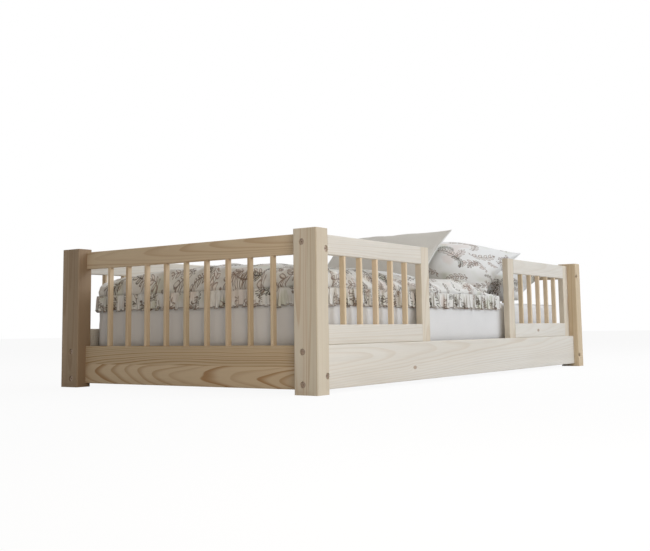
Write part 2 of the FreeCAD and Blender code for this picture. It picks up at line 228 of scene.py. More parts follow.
# --- pine ---------------------------------------------------------------------------------------
def make_pine_grain():
    """Growth rings about a heart line that drifts along the board, with fibre and one knot.

    Grain holds the place in metres with x along the board. Heart is where the tree's middle
    lies across it, Taper how far that drifts per metre, and Shift sets one board apart from
    the next.
    """
    _, given, result = new_group(
        "pine_grain", "ShaderNodeTree",
        [("Grain", VECTOR, None), ("Heart", VECTOR, None), ("Taper", VECTOR, None),
         ("Shift", VECTOR, None), ("Ring Width", FLOAT, 0.004), ("Wander", FLOAT, 0.006),
         ("Knot", VECTOR, (9.0, 9.0, 9.0)), ("Knot Size", FLOAT, 0.01), ("Contrast", FLOAT, 0.6),
         ("Early Wood", COLOUR, None), ("Late Wood", COLOUR, None)],
        [("Color", COLOUR), ("Roughness", FLOAT), ("Height", FLOAT)])
    # swells, streaks and fibres per metre, along the board and across it
    swells, streaks, fibres = (1.6, 9.0, 9.0), (2.2, 70.0, 70.0), (16.0, 620.0, 620.0)
    knot_core = (0.20, 0.085, 0.035)
    grain, shift, knot_size = given["Grain"], given["Shift"], given["Knot Size"]
    early_wood, late_wood = given["Early Wood"], given["Late Wood"]

    seeded = grain * swells + shift
    swing = (noise(seeded, "Color") - (0.5, 0.5, 0.5)) * given["Wander"]
    heart = given["Heart"] + given["Taper"] * split(grain)[0]
    radius = calc("LENGTH", (grain + swing - heart) * (0.0, 1.0, 1.0))
    knot_share = calc("LENGTH", (grain - given["Knot"]) * (0.5, 1.0, 1.0)) / knot_size
    pushed_out = calc("EXPONENT", knot_share * knot_share * -0.35) * knot_size * 1.3
    radius = radius + pushed_out

    unevenness = noise(join(radius * 38.0) + shift) * 2.6
    phase = radius / given["Ring Width"] + unevenness
    ring = calc("FRACT", phase)
    late = ease(ring, 0.42, 0.92) * (1.0 - ease(ring, 0.92, 1.0))
    late = late * (draw_number(calc("FLOOR", phase)) * 0.7 + 0.3)
    fibre = noise(grain * fibres, detail=3.0)
    streak = noise(grain * streaks + shift, detail=3.0)

    colour = mix_colour(calc("MULTIPLY", late, given["Contrast"], clamp=True), early_wood, late_wood)
    warmth = ease(noise(seeded * 0.8), 0.38, 0.70) * 0.34
    colour = mix_colour(warmth, colour, mix_colour(0.5, colour, late_wood))
    colour = shade_colour(colour, fibre * 0.14 + streak * 0.14 + 0.86)
    core = 1.0 - ease(knot_share, 0.75, 1.15)
    colour = mix_colour(core * 0.8, colour, mix_colour(0.55, late_wood, knot_core))
    feed(result["Color"], colour)
    feed(result["Roughness"], fibre * 0.16 + late * -0.08 + 0.52)
    feed(result["Height"], fibre * 0.7 + late * 0.5)


def make_glued_strips():
    """Tells copies or glued strips apart by their place: a shift for each, and the glue line."""
    _, given, result = new_group(
        "glued_strips", "ShaderNodeTree",
        [("Place", FLOAT, None), ("Strip Width", FLOAT, 0.03), ("Line Width", FLOAT, 0.0006)],
        [("Shift", VECTOR), ("Tone", FLOAT), ("Line", FLOAT)])
    steps = given["Place"] / given["Strip Width"]
    strip = calc("FLOOR", steps)
    to_edge = (0.5 - calc("PINGPONG", steps + 0.5, 0.5)) * given["Strip Width"]
    feed(result["Shift"], draw_number(strip, "Color") - (0.5, 0.5, 0.5))
    feed(result["Tone"], draw_number(strip))
    feed(result["Line"], 1.0 - ease(to_edge, 0.0, given["Line Width"]))


GRAIN_AXES = {"X": (0, 1, 2), "Y": (1, 0, 2), "Z": (2, 0, 1)}


def pine_finish(name, axis, heart, seed, taper=(0.0, 0.0), ring=0.004, wander=0.008, contrast=0.6,
                knot=None, knot_size=0.011, strips=None, colours=None):
    """Bare, sanded pine whose grain runs along one axis of the bed.

    heart and taper are across the board, in the order of the two axes that are left. strips
    holds the axis, start and width of glued strips or of single copies in a group, and the
    width of the glue line.
    """
    looks = bpy.context.scene.floor_bed_wood
    material, tree, shader = new_material(name)
    axes = GRAIN_AXES[axis]
    place = split(put(tree, "ShaderNodeTexCoord")["Object"])
    grain = join(*(place[i] for i in axes))
    shift = (seed * 3.7, seed * 1.9, seed * 5.3)
    early, late = colours or (looks.early_wood, looks.late_wood)
    if strips:
        strip_axis, start, width, glue_line = strips
        strip = place_group(tree, "glued_strips", {"Place": place["XYZ".index(strip_axis)] - start,
                                                   "Strip Width": width, "Line Width": max(glue_line, 1e-5)})
        grain = grain + strip["Shift"] * (0.9, 0.05, 0.05)
        shift = strip["Shift"] * 40.0 + shift
    inputs = {"Grain": grain, "Heart": (0.0, *heart), "Taper": (0.0, *taper), "Shift": shift,
              "Ring Width": ring, "Wander": wander, "Contrast": contrast,
              "Early Wood": (*early, 1.0), "Late Wood": (*late, 1.0)}
    if knot:
        inputs.update({"Knot": tuple(knot[i] for i in axes), "Knot Size": knot_size})
    wood = place_group(tree, "pine_grain", inputs)
    colour = wood["Color"]
    if strips:
        level = strip["Tone"] * 0.16 + 0.90
        colour = mix_colour(1.0, colour, join(level, level, level ** 1.3), "MULTIPLY")
        if glue_line:
            colour = mix_colour(strip["Line"] * 0.45, colour, late)
    feed(shader["Base Color"], colour)
    feed(shader["Roughness"], wood["Roughness"])
    feed(shader["Specular IOR Level"], 0.28)
    bump(shader, wood["Height"], 0.00025)
    return material


def dress(node, material):
    """Gives a carried-over CAD node its material."""
    set_material(NODES[node], material)


# --- cloth --------------------------------------------------------------------------------------
def make_weave():
    """Plain weave: threads over and under each other, with slubs and a little unevenness."""
    _, given, result = new_group(
        "plain_weave", "ShaderNodeTree",
        [("Cloth", VECTOR, None), ("Thread", FLOAT, 0.0006), ("Slub", FLOAT, 0.5)],
        [("Shade", FLOAT), ("Height", FLOAT)])
    cloth = given["Cloth"]
    x, y, _ = split(cloth * (math.pi / given["Thread"]))
    threads = abs(calc("SINE", x) * calc("COSINE", y))
    slubs = (noise(cloth * (60.0, 900.0, 60.0)) + noise(cloth * (900.0, 60.0, 60.0))) * given["Slub"]
    cloud = noise(cloth, detail=3.0, scale=9.0)
    feed(result["Shade"], slubs * 0.10 + cloud * 0.10 + 0.88)
    feed(result["Height"], threads + slubs)


def make_sprig_print():
    """A scattered line print: leafy sprigs of paired leaves on a bowed stem, and berries.

    One motif stands in each cell of a scattered field, turned by chance. Ink is the line,
    Wash the pale colour inside the leaves, and Chance tells the motifs apart.
    """
    tree, given, result = new_group(
        "sprig_print", "ShaderNodeTree",
        [("Cloth", VECTOR, None), ("Cell", FLOAT, 0.09), ("Leaf", FLOAT, 0.012),
         ("Line", FLOAT, 0.0008), ("Share", FLOAT, 0.8)],
        [("Ink", FLOAT), ("Wash", FLOAT), ("Chance", FLOAT)])
    leaf, line = given["Leaf"], given["Line"]
    leaf_angle = 0.72
    flat = given["Cloth"] * (1.0, 1.0, 0.0)
    cell_inputs = {"Vector": flat, "Scale": 1.0 / given["Cell"], "Randomness": 0.85}
    cells = put(tree, "ShaderNodeTexVoronoi", cell_inputs, voronoi_dimensions="2D")
    turn, bend, fatness = split(cells["Color"])
    x, y, _ = split(rotate(flat - cells["Position"], turn * 6.283))
    y = y - (bend - 0.5) * (0.5 / leaf) * (x * x)

    reach = leaf * 2.1
    inside = 1.0 - ease(abs(x), reach - line, reach)
    stem = 1.0 - ease(abs(y), line * 0.4, line)

    pitch = leaf * 0.9
    u, v, _ = split(rotate(join(x % pitch - pitch * 0.1, abs(y)), -leaf_angle))
    share = (u - leaf * 0.5) / (leaf * 0.5)
    belly = (1.0 - share * share) * (leaf * (fatness * 0.12 + 0.14))
    to_edge = abs(v) - belly
    outline = (1.0 - ease(abs(to_edge), line * 0.3, line)) * (abs(share) < 1.15)
    filled = (to_edge < 0.0) * inside

    to_berry = calc("LENGTH", join(abs(x), y) - join(reach)) - leaf * 0.2
    berry = 1.0 - ease(to_berry, line * -0.6, line)
    lot = put(tree, "ShaderNodeTexWhiteNoise", {"Vector": cells["Position"]}, noise_dimensions="3D")
    shown = split(lot["Color"])[0] < given["Share"]
    ink = calc("MAXIMUM", calc("MAXIMUM", stem, outline) * inside, berry)
    feed(result["Ink"], ink * shown)
    feed(result["Wash"], filled * shown)
    feed(result["Chance"], bend)


# The print's three layers: how large cell, leaf and line are, the share of motifs shown, and
# where the layer lies.
PRINT_LAYERS = (((1.0, 1.0, 1.0), 0.85, (0.0, 0.0, 0.0)),
                ((0.57, 0.62, 0.8), 0.6, (3.1, 7.7, 0.0)),
                ((0.8, 0.9, 1.0), 0.5, (9.4, 1.3, 0.0)))


def cotton_finish(name, base, thread=0.0006, slub=0.5, printed=None, heather=0.0, hem=None):
    """Woven cotton or linen, placed by the attribute cloth: metres on the flat cloth.

    printed holds the cell, leaf and line of the sprig print. hem is the place across the
    cloth where a dark overlocked edge begins.
    """
    looks = bpy.context.scene.floor_bed_bedding
    material, tree, shader = new_material(name)
    cloth = put(tree, "ShaderNodeAttribute", attribute_name="cloth")["Vector"]
    weave = place_group(tree, "plain_weave", {"Cloth": cloth, "Thread": thread, "Slub": slub})
    colour = base
    if printed:
        green, pink, _ = split(noise(cloth, "Color", detail=1.0, scale=11.0))
        colour = mix_colour(ease(green, 0.54, 0.70) * 0.30, colour, looks.wash_green)
        colour = mix_colour(ease(pink, 0.56, 0.72) * 0.26, colour, looks.wash_pink)
        for sizes, share, offset in PRINT_LAYERS:
            cell, leaf, line = (size * part for size, part in zip(printed, sizes))
            sprig = place_group(tree, "sprig_print", {"Cloth": cloth + offset, "Cell": cell, "Leaf": leaf,
                                                      "Line": line, "Share": share})
            chance = sprig["Chance"]
            colour = mix_colour(sprig["Wash"] * 0.22, colour,
                                mix_colour(chance, looks.wash_green, looks.wash_pink))
            colour = mix_colour(sprig["Ink"] * (chance * -0.25 + 0.97), colour,
                                mix_colour(chance, looks.ink_dark, looks.ink_warm))
    if hem:
        colour = mix_colour((split(cloth)[1] > hem) * 0.75, colour, looks.ink_warm)
    if heather:
        fleck = noise(cloth * (260.0, 1300.0, 260.0))
        colour = shade_colour(colour, fleck * heather + (1.0 - heather / 2))
    feed(shader["Base Color"], shade_colour(colour, weave["Shade"]))
    feed(shader["Roughness"], weave["Shade"] * -0.25 + 1.08)
    feed(shader["Specular IOR Level"], 0.15)
    feed(shader["Sheen Weight"], 0.25)
    feed(shader["Sheen Roughness"], 0.6)
    bump(shader, weave["Height"], 0.00012)
    return material


def steel_finish(name, base, roughness):
    """Zinc-plated steel with turning marks and a mottled bloom."""
    material, tree, shader = new_material(name)
    place = put(tree, "ShaderNodeTexCoord")["Object"]
    bloom = noise(place, detail=3.0, scale=320.0)
    marks = noise(place * (90.0, 90.0, 4200.0))
    feed(shader["Base Color"], mix_colour(bloom * 0.6, base, [0.7 * share for share in base]))
    feed(shader["Roughness"], bloom * 0.18 + marks * 0.12 + (roughness - 0.15))
    feed(shader["Metallic"], 1.0)
    bump(shader, marks, 0.00004)
    return material


# --- meshes -------------------------------------------------------------------------------------
def add_object(name, data):
    """A new object at the origin."""
    piece = bpy.data.objects.new(name, data)
    bpy.context.scene.collection.objects.link(piece)
    return piece


def evaluated_mesh(piece):
    """A plain mesh of a piece with its modifiers."""
    depsgraph = bpy.context.evaluated_depsgraph_get()
    return bpy.data.meshes.new_from_object(piece.evaluated_get(depsgraph), depsgraph=depsgraph)


def mesh_piece(name, points, faces, cloth=None):
    """A smooth mesh piece; cloth holds each point's place on the flat cloth."""
    mesh = bpy.data.meshes.new(name)
    mesh.from_pydata([tuple(map(float, p)) for p in points], [], faces)
    mesh.polygons.foreach_set("use_smooth", [True] * len(mesh.polygons))
    mesh.update()
    if cloth is not None:
        store_cloth(mesh, cloth)
    return add_object(name, mesh)


def store_cloth(mesh, cloth):
    field = mesh.attributes.new("cloth", "FLOAT_VECTOR", "POINT")
    field.data.foreach_set("vector", np.asarray(cloth, float).ravel())


def points_of(mesh):
    flat = np.zeros(len(mesh.vertices) * 3)
    mesh.vertices.foreach_get("co", flat)
    return flat.reshape(-1, 3)


def set_points(mesh, points):
    mesh.vertices.foreach_set("co", np.asarray(points, float).ravel())
    mesh.update()


def closed_grid(columns, rows):
    """Two grids that share their rim: the indices on both sides, and the faces."""
    top = np.arange(columns * rows).reshape(columns, rows)
    low = top.copy()
    inner = (columns - 2) * (rows - 2)
    low[1:-1, 1:-1] = columns * rows + np.arange(inner).reshape(columns - 2, rows - 2)
    faces = []
    for i in range(columns - 1):
        for j in range(rows - 1):
            faces.append([int(k) for k in (top[i, j], top[i + 1, j], top[i + 1, j + 1], top[i, j + 1])])
            faces.append([int(k) for k in (low[i, j], low[i, j + 1], low[i + 1, j + 1], low[i + 1, j])])
    return top, low, faces


def both_sides(top, low, upper, lower):
    """The points of a closed grid from those of its two sides; the rim takes the upper ones."""
    points = np.zeros((int(low.max()) + 1, 3))
    points[low.ravel()] = lower.reshape(-1, 3)
    points[top.ravel()] = upper.reshape(-1, 3)
    return points


def random_waves(x, y, lengths, seed, count=14):
    """Smooth, irregular swells over x and y, about -1 to 1, between two wave lengths."""
    random = np.random.default_rng(seed)
    total = np.zeros_like(x)
    for _ in range(count):
        length = random.uniform(*lengths)
        angle, phase = random.uniform(0, math.pi), random.uniform(0, TAU)
        total += np.sin(TAU / length * (x * math.cos(angle) + y * math.sin(angle)) + phase)
    return total / math.sqrt(count) / 1.4


def swell(piece, held, pressure, growth, frames, cap, bending=0.4):
    """Lets a closed cloth swell and crease for some frames, and moves no point over cap."""
    start = points_of(piece.data)
    piece.vertex_groups.new(name="held").add([int(k) for k in held], 1.0, "REPLACE")
    modifier = piece.modifiers.new("swell", "CLOTH")
    cloth = modifier.settings
    cloth.quality = 6
    cloth.mass = 0.25
    cloth.tension_stiffness = cloth.compression_stiffness = 20.0
    cloth.shear_stiffness = 8.0
    cloth.bending_stiffness = bending
    cloth.use_pressure = True
    cloth.uniform_pressure_force = pressure
    cloth.shrink_min = -growth
    cloth.effector_weights.gravity = 0.0
    cloth.vertex_group_mass = "held"
    modifier.point_cache.frame_end = frames
    scene = bpy.context.scene
    for number in range(1, frames + 1):
        scene.frame_set(number)
    evaluated = piece.evaluated_get(bpy.context.evaluated_depsgraph_get())
    moved = points_of(evaluated.data) - start
    piece.modifiers.remove(modifier)
    piece.vertex_groups.clear()
    scene.frame_set(1)
    size = np.linalg.norm(moved, axis=1, keepdims=True)
    moved *= np.minimum(1.0, cap / np.maximum(size, 1e-9))
    set_points(piece.data, start + moved)


def subdivide(piece, levels=1):
    modifier = piece.modifiers.new("finish", "SUBSURF")
    modifier.levels = modifier.render_levels = levels


def set_material(piece, material):
    piece.data.materials.clear()
    piece.data.materials.append(material)


# --- geometry node trees ------------------------------------------------------------------------
def geometry_group(name, inputs):
    tree, given, result = new_group(name, "GeometryNodeTree",
                                    [("Path", GEOMETRY, None)] + inputs, [("Geometry", GEOMETRY)])
    tree.is_modifier = True
    return tree, given, result


def put_geometry(tree, kind, inputs, output, **settings):
    return put(tree, "GeometryNode" + kind, inputs, **settings)[output]


def keep_cloth(tree, geometry, cloth):
    """Stores each point's place on the flat cloth, for the material."""
    return put_geometry(tree, "StoreNamedAttribute", {"Geometry": geometry, "Name": "cloth", "Value": cloth},
                        "Geometry", data_type="FLOAT_VECTOR", domain="POINT")


def finish_geometry(tree, geometry, given, result):
    for kind, inputs in (("SetShadeSmooth", {}), ("RealizeInstances", {}),
                         ("SetMaterial", {"Material": given["Material"]})):
        geometry = put_geometry(tree, kind, {"Geometry": geometry, **inputs}, "Geometry")
    feed(result["Geometry"], geometry)


def make_piping_cord():
    """A round, covered cord that follows a path."""
    tree, given, result = geometry_group(
        "piping_cord", [("Radius", FLOAT, 0.002), ("Material", MATERIAL, None)])
    ring = put_geometry(tree, "CurvePrimitiveCircle", {"Resolution": 8, "Radius": given["Radius"]}, "Curve")
    path = keep_cloth(tree, given["Path"], join(put_geometry(tree, "SplineParameter", {}, "Length")))
    tube = put_geometry(tree, "CurveToMesh", {"Curve": path, "Profile Curve": ring, "Fill Caps": True},
                        "Mesh")
    finish_geometry(tree, tube, given, result)


def make_gathered_ruffle():
    """A strip gathered onto a path: pleats deepen from the seam to the wavy hem.

    The path runs with the outside on its right. Gather is the cloth's length over the path's.
    """
    tree, given, result = geometry_group(
        "gathered_ruffle", [("Drop", FLOAT, 0.05), ("Pleat Pitch", FLOAT, 0.028), ("Depth", FLOAT, 0.005),
                            ("Fold", FLOAT, 0.008), ("Gather", FLOAT, 1.6), ("Columns", INTEGER, 1200),
                            ("Rows", INTEGER, 9), ("Seed", FLOAT, 4.0), ("Material", MATERIAL, None)])
    grid = put_geometry(tree, "MeshGrid", {"Size X": 1.0, "Size Y": 1.0, "Vertices X": given["Columns"],
                                           "Vertices Y": given["Rows"]}, "Mesh")
    x, y, _ = split(put_geometry(tree, "InputPosition", {}, "Position"))
    share = calc("ADD", x, 0.5, clamp=True)
    down = calc("SUBTRACT", 0.5, y, clamp=True)
    run = share * put_geometry(tree, "CurveLength", {"Curve": given["Path"]}, "Length")
    on_path = put(tree, "GeometryNodeSampleCurve", {"Curves": given["Path"], "Factor": share}, mode="FACTOR",
                  use_all_curves=True)
    tangent = on_path["Tangent"]
    outwards = calc("NORMALIZE", calc("CROSS_PRODUCT", tangent, (0.0, 0.0, 1.0)))
    place = run / given["Pleat Pitch"]

    def chance(scale, shift):
        """A smooth random value from -0.5 to 0.5 along the pleats."""
        return noise(join(place * scale, given["Seed"] + shift), detail=1.0) - 0.5

    pleat = chance(0.45, 1.0) * 2.4 + place
    angle = (chance(0.7, 5.0) * down * 0.9 + pleat) * TAU
    opened = (chance(0.8, 9.0) * 1.5 + 0.95) * (down ** 0.7 * 0.85 + 0.15)
    ripple = calc("SINE", angle * 2.37) * (down * 0.28)
    out = (calc("SINE", angle) * opened + ripple) * given["Depth"]
    fold = calc("SINE", angle * 2.0) * (given["Fold"] * opened)
    uneven_hem = chance(0.9, 13.0) * 0.45 + calc("COSINE", angle) * 0.05 + 0.92
    drop = given["Drop"] * down * uneven_hem
    spot = on_path["Position"] + outwards * out + tangent * fold - join(0.0, 0.0, drop)

    cloth = join(run * given["Gather"], down * given["Drop"])
    strip = put_geometry(tree, "SetPosition", {"Geometry": keep_cloth(tree, grid, cloth), "Position": spot},
                         "Geometry")
    finish_geometry(tree, strip, given, result)


def path_object(name, points, closed):
    """A poly curve through a run of points, for a geometry node tree to follow."""
    curve = bpy.data.curves.new(name, "CURVE")
    curve.dimensions = "3D"
    spline = curve.splines.new("POLY")
    spline.points.add(len(points) - 1)
    spline.points.foreach_set("co", [c for p in points for c in (*map(float, p), 1.0)])
    spline.use_cyclic_u = closed
    return add_object(name, curve)


def grow_along(name, points, group, values, closed=False):
    """Runs a geometry node tree over a path and keeps the result as a plain mesh piece."""
    source = path_object(name + "_path", points, closed)
    modifier = source.modifiers.new("nodes", "NODES")
    modifier.node_group = GROUPS[group]
    for item in GROUPS[group].interface.items_tree:
        if item.item_type == "SOCKET" and item.in_out == "INPUT" and item.name in values:
            modifier[item.identifier] = values[item.name]
    bpy.context.view_layer.update()
    mesh = evaluated_mesh(source)
    bpy.data.objects.remove(source)
    mesh.name = name
    return add_object(name, mesh)


# --- bedding shapes -----------------------------------------------------------------------------
# The duvet's rows, as in the CAD solid: the distance from its foot edge, first in metres and
# then as a share of its length, with the shares of the crown's and the edge's height.
DUVET_FOOT_ROWS = ((0.0, 0.48, 0.56), (0.002, 0.50, 0.60), (0.014, 0.68, 0.85), (0.0467, 0.86, 1.0))
DUVET_ROWS = ((0.12, 0.97, 1.0), (0.3, 1.0, 1.0), (0.55, 0.96, 1.0), (0.72, 0.84, 0.95),
              (0.86, 0.62, 0.76), (0.96, 0.42, 0.5), (1.0, 0.28, 0.34))
DUVET_CORNER = 0.047
REST_GAP = 0.0003


def crowded(count, tight):
    """Places from 0 to 1, closer together near both ends."""
    even = np.linspace(0.0, 1.0, count)
    return (1 - tight) * even + tight * (1 - np.cos(math.pi * even)) / 2


def duvet_form(columns, rows):
    """The duvet's two sides, its plan's distance to the edge, and its place on flat cloth."""
    looks = bpy.context.scene.floor_bed_bedding
    low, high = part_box("duvet")
    length = high.x - low.x
    along, side = np.meshgrid(crowded(columns, 0.7), 2 * crowded(rows, 0.7) - 1, indexing="ij")
    inset = along * length
    to_round = np.maximum(DUVET_CORNER - inset, 0.0)
    half = high.y - (DUVET_CORNER - np.sqrt(np.maximum(DUVET_CORNER ** 2 - to_round ** 2, 0)))
    x, y = low.x + inset, half * side
    edge = np.minimum(np.minimum(inset, half - np.abs(y)), length - inset)
    rows_at = np.array([row[0] for row in DUVET_FOOT_ROWS] + [row[0] * length for row in DUVET_ROWS])
    shares = np.array(DUVET_FOOT_ROWS + DUVET_ROWS)
    crown_height = looks.duvet_crown * np.interp(inset, rows_at, shares[:, 1])
    edge_height = looks.duvet_edge * np.interp(inset, rows_at, shares[:, 2])
    rim = edge_height / 2
    round_over = np.sqrt(np.clip(1 - (1 - np.minimum(edge / rim, 1)) ** 2, 0, 1))
    across = np.abs(y) / np.maximum(half - rim, 1e-6)
    crown = (crown_height - edge_height) * np.clip(1 - across ** 2, 0, 1)
    floor = low.z + REST_GAP
    upper = floor + rim * (1 + round_over) + crown
    under = floor + rim * (1 - round_over)
    steps = np.hypot(np.diff(y, axis=1), np.diff(upper, axis=1))
    travelled = np.concatenate([np.zeros((columns, 1)), np.cumsum(steps, axis=1)], axis=1)
    travelled -= travelled[:, rows // 2][:, None]
    cloth = np.stack([x, travelled, np.zeros_like(x)], axis=2)
    return np.stack([x, y, upper], axis=2), np.stack([x, y, under], axis=2), edge, cloth


def make_duvet():
    """A filled, crowned duvet that lies on the mattress, gathered where the ruffle is sewn on."""
    looks = bpy.context.scene.floor_bed_bedding
    columns, rows = 118, 96
    gather_pitch, gathered_band = 0.034, 0.05
    top, low, faces = closed_grid(columns, rows)
    upper, under, edge, cloth = duvet_form(columns, rows)
    x, y = upper[..., 0], upper[..., 1]
    box_low, box_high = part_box("duvet")
    from_foot = x - box_low.x
    from_side = np.minimum(y - box_low.y, box_high.y - y)
    run = np.where(from_foot < from_side, y * 1.07, x)
    near = np.exp(-np.minimum(from_foot, from_side) / gathered_band) * np.clip(edge / 0.006, 0, 1)
    drift = 2.4 * random_waves(run, y * 0.2, (0.1, 0.3), 3)
    gathers = np.sin(TAU * run / gather_pitch + drift) * near
    puffs = random_waves(x, y, (0.12, 0.34), 11) + 0.6 * random_waves(x, y, (0.05, 0.11), 12)
    inner = np.clip(edge / 0.06, 0, 1)
    upper[..., 2] += looks.gather_depth * gathers + looks.duvet_puff * puffs * inner
    points = both_sides(top, low, upper, under)
    places = both_sides(top, low, cloth, cloth)
    piece = mesh_piece("duvet_filled", points, faces, places)
    swell(piece, low.ravel(), pressure=3.0, growth=0.10, frames=18, cap=0.014, bending=0.15)
    moved = points_of(piece.data)
    moved[:, 2] = np.maximum(moved[:, 2], box_low.z)
    set_points(piece.data, moved)
    subdivide(piece)
    set_material(piece, MATERIALS["duvet"])
    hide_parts("duvet")
    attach(piece, "duvet")


def ruffle_path(offset, height):
    """Round the duvet's free sides, from the wall side's head end to the entry side's."""
    low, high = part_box("mattress")
    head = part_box("duvet")[1].x
    corner, step = 0.045 + offset, 0.01
    x0, y0, y1 = low.x - offset, low.y - offset, high.y + offset
    points = [(x, y1) for x in np.arange(head, x0 + corner, -step)]
    for cx, cy, start in ((x0 + corner, y1 - corner, 90), (x0 + corner, y0 + corner, 180)):
        turn = np.radians(np.linspace(start, start + 90, 9))
        points += [(cx + corner * math.cos(t), cy + corner * math.sin(t)) for t in turn]
        if start == 90:
            points += [(x0, y) for y in np.arange(y1 - corner - step, y0 + corner, -step)]
    points += [(x, y0) for x in np.arange(x0 + corner + step, head, step)]
    return [(x, y, height) for x, y in points]


def make_ruffle():
    """The strip gathered onto the duvet's edge on its foot end and both sides."""
    looks = bpy.context.scene.floor_bed_bedding
    low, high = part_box("duvet_ruffle")
    seam_below_top, from_mattress = 0.010, 0.0062
    seam = high.z - seam_below_top
    drop = seam - low.z
    values = {"Drop": drop, "Pleat Pitch": looks.pleat_pitch, "Depth": looks.pleat_depth, "Fold": 0.0105,
              "Gather": 1.6, "Columns": 1800, "Rows": 11, "Seed": 4.0, "Material": MATERIALS["ruffle"]}
    piece = grow_along("duvet_ruffle_cloth", ruffle_path(from_mattress, seam), "gathered_ruffle", values)
    solid = piece.modifiers.new("cloth", "SOLIDIFY")
    solid.thickness = 0.0008
    set_material(piece, MATERIALS["ruffle"])
    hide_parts("duvet_ruffle")
    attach(piece, "duvet")


def even_mattress():
    """The CAD mattress as a mesh of even, small faces, in place of its long ones."""
    mesh = NODES["mattress"].data.copy()
    piece = add_object("mattress_in_sheet", mesh)
    weld = piece.modifiers.new("weld", "WELD")
    weld.merge_threshold = 0.00002
    remesh = piece.modifiers.new("remesh", "REMESH")
    remesh.mode = "VOXEL"
    remesh.voxel_size = 0.0125
    smooth = piece.modifiers.new("smooth", "SMOOTH")
    smooth.iterations = 3
    even = evaluated_mesh(piece)
    piece.modifiers.clear()
    piece.data = even
    bpy.data.meshes.remove(mesh)
    return piece


def make_mattress():
    """A foam mattress in a fitted sheet drawn tight, with soft pulls towards the corners."""
    pull_pitch, pull_reach, pull_depth = 0.045, 0.11, 0.0013
    drape_depth, ripple_depth, drawn_in = 0.0013, 0.0011, 0.0012
    piece = even_mattress()
    even = piece.data
    points = points_of(even)
    low, high = (np.array(c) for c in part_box("mattress"))
    normals = np.zeros(len(points) * 3)
    even.vertices.foreach_get("normal", normals)
    normals = normals.reshape(-1, 3)
    x, y, z = points.T
    level = np.abs(normals[:, 2])
    middle_x = (low[0] + high[0]) / 2
    to_corner = np.hypot(np.abs(x - middle_x) - high[0], np.abs(y) - high[1])
    round_side = np.where(np.abs(normals[:, 0]) > np.abs(normals[:, 1]), y, x)
    pulls = np.sin(TAU * (round_side * 0.8 + (z - low[2]) * 0.9) / pull_pitch)
    pulls *= np.exp(-to_corner / pull_reach)
    drapes = random_waves(round_side, z * 0.35, (0.06, 0.20), 21)
    ripples = random_waves(x, y, (0.10, 0.45), 22)
    depth = (pull_depth * pulls + (1 - level) * drape_depth * drapes
             + np.clip(normals[:, 2], 0, 1) * ripple_depth * (ripples - 1))
    depth = np.where(normals[:, 2] < -0.4, 0.0, depth - drawn_in)
    set_points(even, points + normals * depth[:, None])
    side = level < 0.6
    store_cloth(even, np.stack([np.where(side, round_side, x), np.where(side, z, y), np.zeros_like(z)],
                               axis=1))
    even.polygons.foreach_set("use_smooth", [True] * len(even.polygons))
    subdivide(piece)
    set_material(piece, MATERIALS["sheet"])
    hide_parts("mattress")
    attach(piece, "mattress")


# slope length, width, thickness, the share of it under the seam, tilt and the middle of the
# foot-side edge, as in the CAD
PILLOWS = {
    "front": dict(length=0.356, width=0.560, thick=0.112, under=0.5, tilt=43.0,
                  x=0.126, y=0.072, z=0.3349),
    "middle": dict(length=0.400, width=0.600, thick=0.190, under=0.3, tilt=26.0,
                   x=0.267, y=-0.110, z=0.3102),
    "back": dict(length=0.450, width=0.690, thick=0.190, under=0.3, tilt=20.0,
                 x=0.520, y=-0.092, z=0.2845),
}
PILLOW_SIDE_DRAW = 0.016
PILLOW_HALF_RIM = 0.0035


def fit_pillow(points, form):
    """Scales a swollen pillow to its length and width, and draws it near the CAD solid's crown."""
    length, width, thick = form["length"], form["width"], form["thick"]
    points[:, 0] *= length / 2 / np.abs(points[:, 0]).max()
    points[:, 1] *= width / 2 / np.abs(points[:, 1]).max()
    swelling = np.sin(math.pi * np.clip(points[:, 0] / length + 0.5, 0, 1))
    half_width = width / 2 - PILLOW_SIDE_DRAW * swelling
    reach = thick * np.where(points[:, 2] > 0, 1 - form["under"], form["under"])
    across = np.clip(1 - (points[:, 1] / half_width) ** 2, 0, 1)
    crown = PILLOW_HALF_RIM + (reach - PILLOW_HALF_RIM) * swelling ** 0.6 * across
    beyond = np.maximum(np.abs(points[:, 2]) - crown, 0.0)
    points[:, 2] -= np.sign(points[:, 2]) * 0.88 * beyond


def lean_pillow(points, form):
    """Tilts a flat pillow up towards the head end and puts its foot-side edge in place."""
    tilt = math.radians(form["tilt"])
    along = np.array((math.cos(tilt), 0, math.sin(tilt)))
    out = np.array((-math.sin(tilt), 0, math.cos(tilt)))
    start = np.array((form["x"], form["y"], form["z"]))
    return (start + (points[:, :1] + form["length"] / 2) * along + points[:, 2:] * out
            + points[:, 1:2] * (0, 1, 0))


